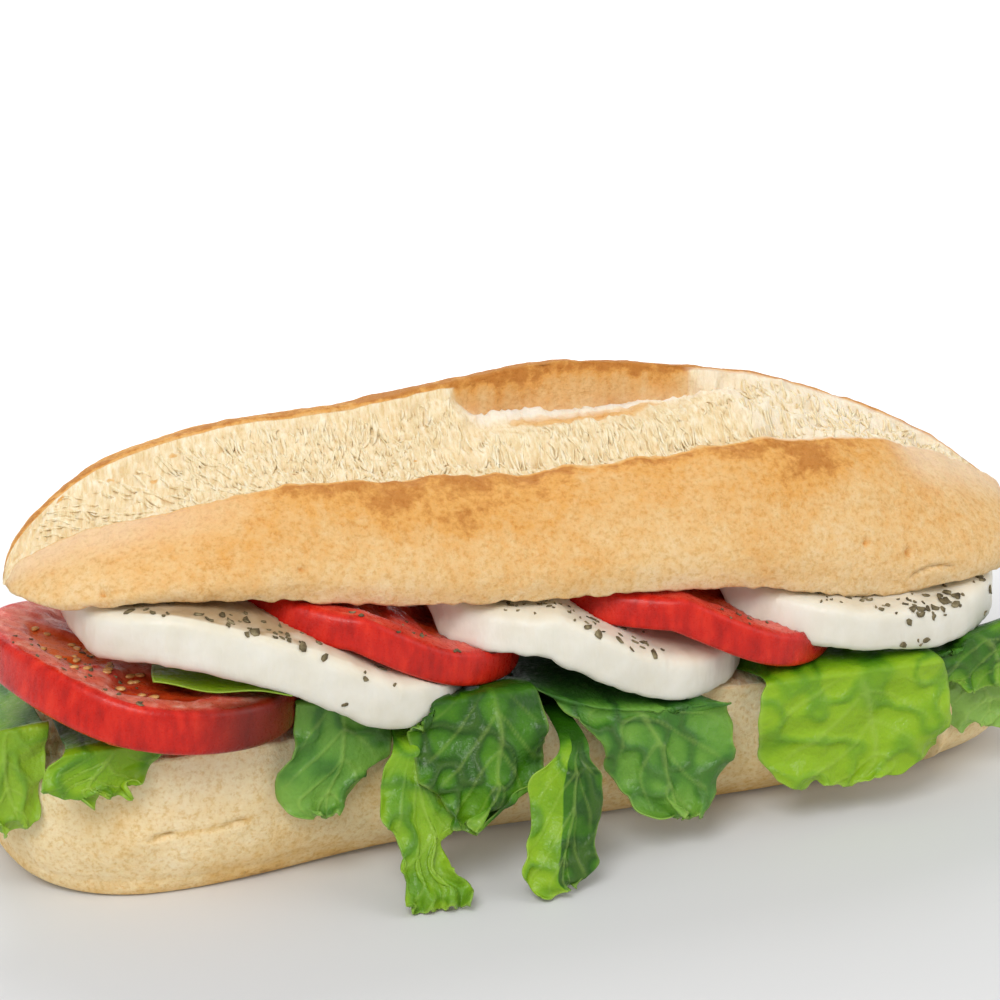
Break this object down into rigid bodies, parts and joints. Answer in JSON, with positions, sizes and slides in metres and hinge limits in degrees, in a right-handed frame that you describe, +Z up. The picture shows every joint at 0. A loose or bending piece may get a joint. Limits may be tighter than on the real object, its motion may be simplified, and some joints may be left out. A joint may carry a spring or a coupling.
{
  "type": "submarine sandwich",
  "caption": "Short crusty baguette sandwich filled with shingled tomato and mozzarella slices, dried herbs and frilly lettuce leaves.",
  "frame": {"origin": "on the flat patch under the bottom half of the loaf, about midway along it", "axes": "+X along the loaf, to the right as seen from its filled front; -Y is the well filled front; +Z up"},
  "size_m": [0.2424, 0.1084, 0.0873],
  "materials": {
    "crust": "baked golden crust with pale torn crumb in the scores",
    "tomato": "wet sliced tomato",
    "cheese": "moist fresh mozzarella",
    "lettuce": "thin veined leaf with a soft sheen"
  },
  "bodies": {
    "root": {"bun_bottom": "crust", "bun_top": "crust", "tomato_1": "tomato", "mozzarella_1": "cheese", "tomato_2": "tomato", "mozzarella_2": "cheese", "tomato_3": "tomato", "mozzarella_3": "cheese", "lettuce_1": "lettuce", "lettuce_2": "lettuce", "lettuce_3": "lettuce", "lettuce_4": "lettuce", "lettuce_5": "lettuce", "lettuce_6": "lettuce", "lettuce_7": "lettuce", "lettuce_8": "lettuce", "lettuce_9": "lettuce", "lettuce_10": "lettuce", "lettuce_11": "lettuce"}
  },
  "joints": []
}
